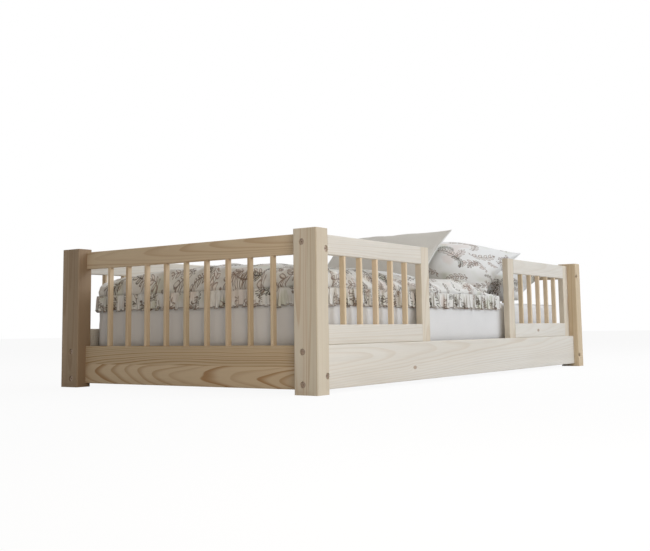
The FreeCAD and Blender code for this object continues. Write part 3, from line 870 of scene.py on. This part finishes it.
def make_pillow(name, finish, seed):
    """Two sewn panels, filled until they crown and pucker at the seam, then leant in place."""
    form = PILLOWS[name]
    columns, rows, crowding = 52, 68, 0.45
    cut_fullness, lump_height = 0.86, 0.0035
    top, low, faces = closed_grid(columns, rows)
    a, b = np.meshgrid(2 * crowded(columns, crowding) - 1, 2 * crowded(rows, crowding) - 1, indexing="ij")
    fullness = ((1 - a ** 2) * (1 - b ** 2)) ** 0.45
    u = a * form["length"] / 2 * (1 - 0.06 * np.cos(b * math.pi / 2) * a ** 2)
    v = b * form["width"] / 2 * (1 - 0.045 * np.cos(a * math.pi / 2) * b ** 2)
    lumps = lump_height * random_waves(u, v, (0.07, 0.2), seed) * np.clip(fullness / 0.5, 0, 1)
    over_seam, under_seam = form["thick"] * (1 - form["under"]), form["thick"] * form["under"]
    upper = np.stack([u, v, over_seam * fullness * cut_fullness + lumps], axis=2)
    under = np.stack([u, v, -under_seam * fullness * cut_fullness + lumps], axis=2)
    cloth = np.stack([u, v + seed, np.zeros_like(u)], axis=2)
    piece = mesh_piece("pillow_%s_filled" % name, both_sides(top, low, upper, under), faces,
                       both_sides(top, low, cloth, cloth))
    corners = [top[0, 0], top[0, -1], top[-1, 0], top[-1, -1]]
    swell(piece, corners, pressure=6.0, growth=0.05, frames=20, cap=0.016, bending=0.2)
    points = points_of(piece.data)
    fit_pillow(points, form)
    points = lean_pillow(points, form)
    set_points(piece.data, points)
    subdivide(piece)
    set_material(piece, MATERIALS[finish])
    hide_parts("pillow_" + name)
    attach(piece, "pillow_" + name)
    rim = np.concatenate([top[:, 0], top[-1, 1:], top[-2::-1, -1], top[0, -2:0:-1]])
    return points[rim]


def make_pillows():
    """A linen pillow with pale piping in front and two printed ones behind it."""
    looks = bpy.context.scene.floor_bed_bedding
    rim = make_pillow("front", "pillow_greige", 5)
    make_pillow("middle", "pillow_print", 8)
    make_pillow("back", "pillow_print", 13)
    values = {"Radius": looks.piping_radius, "Material": MATERIALS["piping"]}
    piping = grow_along("pillow_front_piping", rim, "piping_cord", values, closed=True)
    set_material(piping, MATERIALS["piping"])
    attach(piping, "pillow_front")


# --- pine on the frame --------------------------------------------------------------------------
def dress_posts():
    """Glued posts: strips side by side across the width, grain upright; one is darker."""
    looks = bpy.context.scene.floor_bed_wood
    # The head end's front post takes the warmer wood, painted shade that stands in for the golden tan of its
    # shaded faces.
    colours = {"post_foot_wall": (looks.brown_early, looks.brown_late),
               "post_head_front": (looks.painted_shade_early, looks.late_wood)}
    seeds = {"post_foot_front": 1.3, "post_foot_wall": 2.9, "post_head_front": 4.1, "post_head_wall": 5.6}
    for node, seed in seeds.items():
        low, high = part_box(node)
        inwards = -1 if low.y > 0 else 1
        start = (high.y if inwards > 0 else low.y) - inwards * 0.048
        heart = (low.x - 0.07, (low.y + high.y) / 2 + 0.02)
        dress(node, pine_finish("pine_" + node, "Z", heart, seed, taper=(0.012, 0.02), ring=0.0038,
                                wander=0.006, contrast=0.5, strips=("Y", start, 0.048, 0.0007),
                                colours=colours.get(node)))


def dress_panels():
    """End panels: plain-sawn boards with arched grain, and upright spindles."""
    looks = bpy.context.scene.floor_bed_wood
    # The end panels' boards, top rails and spindles take the warmer wood, painted shade that stands in for
    # the dim light on the shaded foot end.
    painted_shade_warm = (looks.painted_shade_early, looks.painted_shade_late)
    for end, side in (("foot", -1), ("head", 1)):
        low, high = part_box(end + "_board")
        heart = (side * 0.905, (low.z + high.z) / 2 - 0.022)
        dress(end + "_board", pine_finish("pine_%s_board" % end, "Y", heart, 7.7 + side,
                                          taper=(0.055, 0.03), ring=0.0046, wander=0.028, contrast=1.0,
                                          strips=("Z", low.z, 0.062, 0.0007), colours=painted_shade_warm))
        low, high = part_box(end + "_top_rail")
        heart = (side * 0.93, (low.z + high.z) / 2 + 0.012)
        dress(end + "_top_rail", pine_finish("pine_%s_top_rail" % end, "Y", heart, 3.1 + side,
                                             taper=(0.03, -0.02), ring=0.0048, wander=0.014, contrast=0.55,
                                             colours=painted_shade_warm))
    spindle = pine_finish("pine_panel_spindles", "Z", (0.9, 0.2), 6.4, ring=0.0036, contrast=0.45,
                          strips=("Y", -0.378, 0.084, 0.0), colours=painted_shade_warm)
    for node in ["foot_spindle_%d" % n for n in range(1, 10)] + ["head_spindles"]:
        dress(node, spindle)


def dress_side_rails():
    looks = bpy.context.scene.floor_bed_wood
    # Both long rails take the pale wood, painted light that stands in for the bright window light on the
    # entry side.
    for name, side in (("front", -1), ("wall", 1)):
        low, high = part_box("side_rail_" + name)
        heart = (side * 0.40, (low.z + high.z) / 2 + 0.05)
        dress("side_rail_" + name, pine_finish("pine_side_rail_" + name, "X", heart, 9.2 + side,
                                               taper=(0.012, 0.03), ring=0.0043, wander=0.014, contrast=0.55,
                                               knot=(-0.455, side * 0.50, 0.052), knot_size=0.006,
                                               colours=(looks.painted_light_early, looks.painted_light_late)))


def dress_guards():
    """Guards: upright stiles, level pieces butted between them, narrow spindles."""
    looks = bpy.context.scene.floor_bed_wood
    # The guards' level pieces take the pale wood, painted light that stands in for the bright window light on
    # the entry side.
    pale = (looks.painted_light_early, looks.painted_light_late)
    # The guards' spindles take the golden wood, painted shade that stands in for the golden tan of their
    # shaded faces.
    painted_shade_golden = (looks.painted_shade_golden_early, looks.late_wood)
    seed = 11.0
    for node in NODES:
        if not node.startswith("guard_") or node == "guard_screws":
            continue
        seed += 1.37
        if "spindle" in node:
            continue
        low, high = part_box(node)
        side = -1 if low.y < 0 else 1
        if "stile" in node:
            finish = pine_finish("pine_" + node, "Z", ((low.x + high.x) / 2 + 0.01, side * 0.39), seed,
                                 taper=(0.03, 0.02), ring=0.004, contrast=0.35)
        else:
            mid_z = (low.z + high.z) / 2
            knot = (0.60, -0.482, mid_z) if node == "guard_head_bottom_rail" else None
            finish = pine_finish("pine_" + node, "X", (side * 0.405, mid_z - 0.01), seed, taper=(0.02, 0.05),
                                 ring=0.0045, wander=0.012, contrast=0.4, knot=knot, knot_size=0.006,
                                 colours=pale)
        dress(node, finish)
    for name, pitch, start in (("foot", 0.088, 0.02), ("head", 0.088, 0.02), ("wall", 0.082957, 0.0)):
        finish = pine_finish("pine_guard_%s_spindles" % name, "Z", (0.2, 0.4), 30.0 + pitch, ring=0.0036,
                             contrast=0.45, strips=("X", start, pitch, 0.0), colours=painted_shade_golden)
        for node in NODES:
            if node.startswith("guard_%s_spindle" % name):
                dress(node, finish)


def dress_base():
    """Rough-planed slats, their cleats and the straps that space them."""
    looks = bpy.context.scene.floor_bed_wood
    rough = (looks.slat_wood, looks.late_wood)
    slat_count, slat_width = 13, 0.068
    low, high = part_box("slats")
    pitch = (high.x - low.x - slat_width) / (slat_count - 1)
    dress("slats", pine_finish("pine_slats", "Y", (0.0, 0.02), 40.0, ring=0.0045, contrast=0.7,
                               strips=("X", low.x - (pitch - slat_width) / 2, pitch, 0.0), colours=rough))
    for name, side in (("front", -1), ("wall", 1)):
        dress("slat_cleat_" + name, pine_finish("pine_cleat_" + name, "X", (side * 0.41, 0.05), 43.0 + side,
                                                ring=0.004, colours=rough))
    dress("joint_dowels", pine_finish("beech_dowels", "X", (0.4, 0.2), 51.0, ring=0.003, contrast=0.3))
    straps = NODES["slat_straps"].data
    store_cloth(straps, points_of(straps))
    dress("slat_straps", cotton_finish("strap_webbing", (0.62, 0.60, 0.54), thread=0.0016, slub=0.3))


def dress_fixings():
    steel = steel_finish("bolt_steel", (0.40, 0.31, 0.24), 0.45)
    screw_steel = steel_finish("screw_steel", (0.66, 0.60, 0.45), 0.34)
    for node in ("frame_bolts", "barrel_nuts"):
        dress(node, steel)
    for node in ("cleat_screws", "slat_screws", "guard_screws"):
        dress(node, screw_steel)


def make_groups():
    for make in (make_pine_grain, make_glued_strips, make_weave, make_sprig_print, make_piping_cord,
                 make_gathered_ruffle):
        make()


def make_bedding_finishes():
    looks = bpy.context.scene.floor_bed_bedding
    duvet_print, pillow_print = (0.110, 0.023, 0.0019), (0.135, 0.024, 0.0020)
    MATERIALS.update(
        sheet=cotton_finish("sheet_cotton", looks.sheet_colour, thread=0.0005, slub=0.3),
        duvet=cotton_finish("duvet_print", looks.duvet_colour, printed=duvet_print),
        ruffle=cotton_finish("ruffle_print", looks.duvet_colour, printed=duvet_print, hem=0.0535),
        pillow_greige=cotton_finish("greige_linen", looks.greige_colour, thread=0.0009, slub=0.9,
                                    heather=0.16),
        pillow_print=cotton_finish("pillow_print", looks.pillow_colour, printed=pillow_print),
        piping=cotton_finish("pale_piping", looks.piping_colour, thread=0.0007))


# --- room ---------------------------------------------------------------------------------------
WHITE = (1.0, 1.0, 1.0, 1.0)


def backdrop_finish(name, colour, shown):
    """A pale floor: the camera sees it almost white, and it keeps the bed's shadow."""
    material, tree, shader = new_material(name)
    feed(shader["Base Color"], (*colour, 1.0))
    feed(shader["Roughness"], 0.9)
    feed(shader["Specular IOR Level"], 0.1)
    lit = Field(tree.nodes["Principled BSDF"].outputs["BSDF"])
    white = put(tree, "ShaderNodeEmission", {"Color": WHITE, "Strength": 1.0})["Emission"]
    share = put(tree, "ShaderNodeLightPath")["Is Camera Ray"] * shown
    mixed = put(tree, "ShaderNodeMixShader", {0: share, 1: lit, 2: white})["Shader"]
    feed(tree.nodes["Material Output"].inputs["Surface"], mixed)
    return material


def area_light(name, place, target, size, power, colour):
    data = bpy.data.lights.new(name, "AREA")
    data.shape = "RECTANGLE"
    data.size, data.size_y = size
    data.energy = power
    data.color = colour
    light = add_object(name, data)
    light.location = place
    light.rotation_euler = (Vector(target) - Vector(place)).to_track_quat("-Z", "Y").to_euler()


def make_floor():
    looks = bpy.context.scene.floor_bed_stage
    size = looks.floor_size
    points = [(-size, -size, 0), (size, -size, 0), (size, size, 0), (-size, size, 0)]
    floor = mesh_piece("floor", points, [(0, 1, 2, 3)])
    set_material(floor, backdrop_finish("pale_floor", looks.floor_colour, looks.floor_glow))


def make_world():
    """Soft light from all round behind a backdrop that the camera sees as white."""
    world = bpy.data.worlds.new("studio")
    world.use_nodes = True
    tree = world.node_tree
    soft = tree.nodes["Background"]
    feed(soft.inputs["Color"], (1.0, 0.96, 0.91, 1.0))
    feed(soft.inputs["Strength"], bpy.context.scene.floor_bed_stage.fill_strength)
    white = put(tree, "ShaderNodeBackground", {"Color": WHITE, "Strength": 1.0})["Background"]
    path = put(tree, "ShaderNodeLightPath")
    seen = calc("MAXIMUM", path["Is Camera Ray"],
                calc("MAXIMUM", path["Is Glossy Ray"], path["Is Transmission Ray"]))
    lit = Field(soft.outputs["Background"])
    mixed = put(tree, "ShaderNodeMixShader", {0: seen, 1: lit, 2: white})["Shader"]
    feed(tree.nodes["World Output"].inputs["Surface"], mixed)
    bpy.context.scene.world = world


def make_camera():
    """The camera that the photo's posts and rails were fitted with."""
    scene = bpy.context.scene
    camera = add_object("camera", bpy.data.cameras.new("camera"))
    right = Vector((0.57210, -0.82006, -0.01429))
    up = Vector((-0.08123, -0.07399, 0.99395))
    back = Vector((-0.81615, -0.56748, -0.10895))
    turn = Matrix((right, up, back)).transposed().to_4x4()
    camera.matrix_world = Matrix.Translation((-3.0079, -1.9556, 0.1731)) @ turn
    camera.data.sensor_width = 36.0
    camera.data.lens = 50.92
    camera.data.shift_x, camera.data.shift_y = -0.0080, -0.0713
    camera.data.clip_start, camera.data.clip_end = 0.05, 100.0
    scene.camera = camera


def make_stage():
    looks = bpy.context.scene.floor_bed_stage
    bpy.context.scene.view_settings.view_transform = "Standard"
    make_floor()
    make_world()
    area_light("window", (2.0, -4.0, 2.4), (0.1, -0.3, 0.25), (3.4, 2.2), looks.window_power,
               (0.83, 0.90, 1.0))
    area_light("ceiling", (0.6, -0.2, 3.2), (0.1, 0.0, 0.2), (3.0, 2.0), looks.ceiling_power,
               (0.96, 0.98, 1.0))
    area_light("foot_fill", (-2.2, -1.85, 0.8), (-1.0, -0.3, 0.25), (0.9, 0.9), looks.foot_power,
               (1.0, 0.90, 0.77))
    make_camera()


# --- settings -----------------------------------------------------------------------------------
def colour_setting(name, description, default):
    return bpy.props.FloatVectorProperty(name=name, description=description, subtype="COLOR", size=3,
                                         min=0.0, max=1.0, default=default)


def length_setting(name, description, default):
    return bpy.props.FloatProperty(name=name, description=description, subtype="DISTANCE", unit="LENGTH",
                                   min=0.0, default=default)


class FLOORBED_wood(bpy.types.PropertyGroup):
    early_wood: colour_setting("Early wood", "Pale part of each growth ring", (0.70, 0.635, 0.525))
    late_wood: colour_setting("Late wood", "Darker line of each growth ring", (0.46, 0.29, 0.15))
    # The pale early and late wood are painted light: the rails are made paler and cooler to stand in for the
    # bright window light on the entry side.
    painted_light_early: colour_setting("Pale early wood", "Pale part in the entry side's boards", (0.72, 0.685, 0.62))
    painted_light_late: colour_setting("Pale late wood", "Darker line in the entry side's boards", (0.56, 0.46, 0.34))
    # The golden early wood is painted shade: the guards' spindles are warmed to the golden tan of their
    # shaded faces.
    painted_shade_golden_early: colour_setting("Golden early wood", "Pale part of the guards' spindles",
                                 (0.76, 0.625, 0.45))
    # The warmer early and late wood are painted shade: a darker, warmer copy of the wood that stands in for
    # the dim light on the shaded foot side.
    painted_shade_early: colour_setting("Warm early wood", "Pale part in the end panels' boards", (0.68, 0.55, 0.385))
    painted_shade_late: colour_setting("Warm late wood", "Darker line in the end panels' boards", (0.38, 0.21, 0.09))
    brown_early: colour_setting("Brown early wood", "Pale part of the darkest post", (0.42, 0.32, 0.225))
    brown_late: colour_setting("Brown late wood", "Darker line of the darkest post", (0.25, 0.155, 0.085))
    slat_wood: colour_setting("Slat wood", "Pale part of the rough slats", (0.70, 0.55, 0.36))


class FLOORBED_bedding(bpy.types.PropertyGroup):
    duvet_crown: length_setting("Duvet crown", "Height of the duvet's middle over the mattress", 0.098)
    duvet_edge: length_setting("Duvet edge", "Thickness of the duvet at its edge", 0.066)
    duvet_puff: length_setting("Duvet swells", "Height of the duvet's uneven swells", 0.006)
    gather_depth: length_setting("Gather depth", "Depth of the gathers beside the ruffle", 0.0022)
    pleat_pitch: length_setting("Pleat pitch", "Distance between the ruffle's pleats", 0.030)
    pleat_depth: length_setting("Pleat depth", "How far the ruffle's pleats stand out", 0.0062)
    piping_radius: length_setting("Piping radius", "Radius of the front pillow's piping", 0.0022)
    sheet_colour: colour_setting("Sheet", "Colour of the fitted sheet", (0.80, 0.79, 0.78))
    duvet_colour: colour_setting("Duvet", "Ground of the printed duvet", (0.76, 0.745, 0.71))
    greige_colour: colour_setting("Front pillow", "Colour of the linen pillow", (0.56, 0.53, 0.48))
    pillow_colour: colour_setting("Printed pillows", "Ground of the other two pillows", (0.78, 0.775, 0.76))
    piping_colour: colour_setting("Piping", "Colour of the front pillow's piping", (0.80, 0.79, 0.76))
    ink_dark: colour_setting("Dark ink", "Dark line of the print", (0.035, 0.026, 0.022))
    ink_warm: colour_setting("Warm ink", "Brown line of the print", (0.20, 0.11, 0.065))
    wash_green: colour_setting("Green wash", "Green tint in the print", (0.42, 0.47, 0.27))
    wash_pink: colour_setting("Pink wash", "Pink tint in the print", (0.62, 0.42, 0.34))


class FLOORBED_stage(bpy.types.PropertyGroup):
    floor_size: length_setting("Floor size", "Half the floor's side", 30.0)
    floor_colour: colour_setting("Floor", "Colour of the floor", (0.86, 0.85, 0.84))
    floor_glow: bpy.props.FloatProperty(
        name="Floor glow", description="Share of plain white that the camera sees",
        min=0.0, max=1.0, subtype="FACTOR", default=0.93)
    fill_strength: bpy.props.FloatProperty(name="Fill", description="Strength of the light from all round",
                                           min=0.0, default=0.245)
    window_power: bpy.props.FloatProperty(name="Window", description="Light on the entry side, in watts",
                                          min=0.0, unit="POWER", default=113.0)
    ceiling_power: bpy.props.FloatProperty(name="Ceiling", description="Light from above, in watts",
                                           min=0.0, unit="POWER", default=50.0)
    foot_power: bpy.props.FloatProperty(name="Foot fill", description="Light on the foot end, in watts",
                                        min=0.0, unit="POWER", default=12.0)


# --- operators ----------------------------------------------------------------------------------
class FLOORBED_OT_posts(bpy.types.Operator):
    """Gives the four glued posts their upright pine grain"""
    bl_idname = "floor_bed.posts"
    bl_label = "Dress the posts"
    bl_options = {"REGISTER", "UNDO"}

    def execute(self, context):
        dress_posts()
        return {"FINISHED"}


class FLOORBED_OT_panels(bpy.types.Operator):
    """Gives the end panels their boards' arched grain and the spindles theirs"""
    bl_idname = "floor_bed.panels"
    bl_label = "Dress the end panels"
    bl_options = {"REGISTER", "UNDO"}

    def execute(self, context):
        dress_panels()
        return {"FINISHED"}


class FLOORBED_OT_side_rails(bpy.types.Operator):
    """Gives the two long rails their grain"""
    bl_idname = "floor_bed.side_rails"
    bl_label = "Dress the side rails"
    bl_options = {"REGISTER", "UNDO"}

    def execute(self, context):
        dress_side_rails()
        return {"FINISHED"}


class FLOORBED_OT_guards(bpy.types.Operator):
    """Gives the guards' stiles, rails and spindles their grain"""
    bl_idname = "floor_bed.guards"
    bl_label = "Dress the guards"
    bl_options = {"REGISTER", "UNDO"}

    def execute(self, context):
        dress_guards()
        return {"FINISHED"}


class FLOORBED_OT_slatted_base(bpy.types.Operator):
    """Gives the slats, cleats, dowels and straps their finish"""
    bl_idname = "floor_bed.slatted_base"
    bl_label = "Dress the slatted base"
    bl_options = {"REGISTER", "UNDO"}

    def execute(self, context):
        dress_base()
        return {"FINISHED"}


class FLOORBED_OT_fixings(bpy.types.Operator):
    """Gives the bolts, nuts and screws their steel"""
    bl_idname = "floor_bed.fixings"
    bl_label = "Dress the fixings"
    bl_options = {"REGISTER", "UNDO"}

    def execute(self, context):
        dress_fixings()
        return {"FINISHED"}


class FLOORBED_OT_mattress(bpy.types.Operator):
    """Makes the mattress in its fitted sheet"""
    bl_idname = "floor_bed.mattress"
    bl_label = "Make the mattress"
    bl_options = {"REGISTER", "UNDO"}

    def execute(self, context):
        make_mattress()
        return {"FINISHED"}


class FLOORBED_OT_duvet(bpy.types.Operator):
    """Makes the filled duvet with its gathers"""
    bl_idname = "floor_bed.duvet"
    bl_label = "Make the duvet"
    bl_options = {"REGISTER", "UNDO"}

    def execute(self, context):
        make_duvet()
        return {"FINISHED"}


class FLOORBED_OT_ruffle(bpy.types.Operator):
    """Gathers the ruffle onto the duvet's free edges"""
    bl_idname = "floor_bed.ruffle"
    bl_label = "Make the ruffle"
    bl_options = {"REGISTER", "UNDO"}

    def execute(self, context):
        make_ruffle()
        return {"FINISHED"}


class FLOORBED_OT_pillows(bpy.types.Operator):
    """Makes the three pillows and the front one's piping"""
    bl_idname = "floor_bed.pillows"
    bl_label = "Make the pillows"
    bl_options = {"REGISTER", "UNDO"}

    def execute(self, context):
        make_pillows()
        return {"FINISHED"}


class FLOORBED_OT_stage(bpy.types.Operator):
    """Makes the floor, the lights and the camera"""
    bl_idname = "floor_bed.stage"
    bl_label = "Set the stage"
    bl_options = {"REGISTER", "UNDO"}

    def execute(self, context):
        make_stage()
        return {"FINISHED"}


STEPS = (FLOORBED_OT_posts,
         FLOORBED_OT_panels,
         FLOORBED_OT_side_rails,
         FLOORBED_OT_guards,
         FLOORBED_OT_slatted_base,
         FLOORBED_OT_fixings,
         FLOORBED_OT_mattress,
         FLOORBED_OT_duvet,
         FLOORBED_OT_ruffle,
         FLOORBED_OT_pillows,
         FLOORBED_OT_stage)


class FLOORBED_PT_steps(bpy.types.Panel):
    """Lists the steps that dress the bed, with their settings"""
    bl_idname = "FLOORBED_PT_steps"
    bl_label = "Floor Bed"
    bl_space_type = "VIEW_3D"
    bl_region_type = "UI"
    bl_category = "Floor Bed"

    def draw(self, context):
        for step in STEPS:
            self.layout.operator(step.bl_idname)
        for settings in (context.scene.floor_bed_wood, context.scene.floor_bed_bedding,
                         context.scene.floor_bed_stage):
            box = self.layout.box()
            for key in settings.bl_rna.properties.keys():
                if key not in ("rna_type", "name"):
                    box.prop(settings, key)


SETTINGS = {"floor_bed_wood": FLOORBED_wood, "floor_bed_bedding": FLOORBED_bedding,
            "floor_bed_stage": FLOORBED_stage}


def register():
    for cls in (*SETTINGS.values(), *STEPS, FLOORBED_PT_steps):
        bpy.utils.register_class(cls)
    for key, cls in SETTINGS.items():
        setattr(bpy.types.Scene, key, bpy.props.PointerProperty(type=cls))


def unregister():
    for key in SETTINGS:
        delattr(bpy.types.Scene, key)
    for cls in (FLOORBED_PT_steps, *reversed(STEPS), *SETTINGS.values()):
        bpy.utils.unregister_class(cls)


def main():
    register()
    make_groups()
    make_bedding_finishes()
    for step in STEPS:
        getattr(bpy.ops.floor_bed, step.bl_idname.split(".")[1])()


if __name__ == "__main__":
    main()
